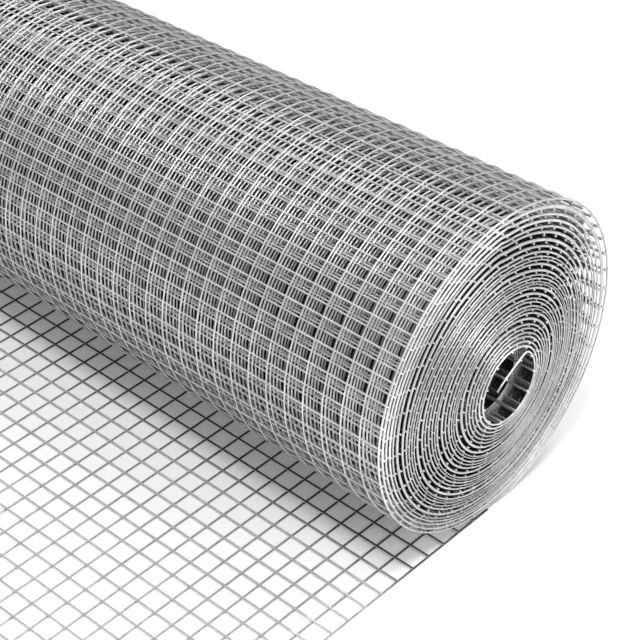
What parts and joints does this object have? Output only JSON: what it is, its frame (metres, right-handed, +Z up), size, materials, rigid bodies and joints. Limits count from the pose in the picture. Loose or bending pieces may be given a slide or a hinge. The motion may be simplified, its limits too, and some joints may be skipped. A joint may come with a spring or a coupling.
{
  "type": "roll of welded wire mesh fencing",
  "caption": "Roll of galvanised welded wire mesh lying on its side, wound round an open bore, with its loose end flat on the ground.",
  "frame": {"origin": "under the middle of the whole object, at the level of the ground it lies on", "axes": "+X along the roll towards its slacker, slightly thicker end, where the inner turns stand out, -Y towards the end of the loose mesh, +Z up. The roll tapers and lies along its side, so its own axis rises by 0.85 degrees towards +X."},
  "size_m": [0.623, 0.3516, 0.192],
  "materials": {
    "galvanised_wire": "satin hot-dip galvanised zinc"
  },
  "bodies": {
    "root": {"roll": "galvanised_wire", "tail_near": "galvanised_wire", "tail_middle": "galvanised_wire", "tail_end": "galvanised_wire"}
  },
  "joints": []
}
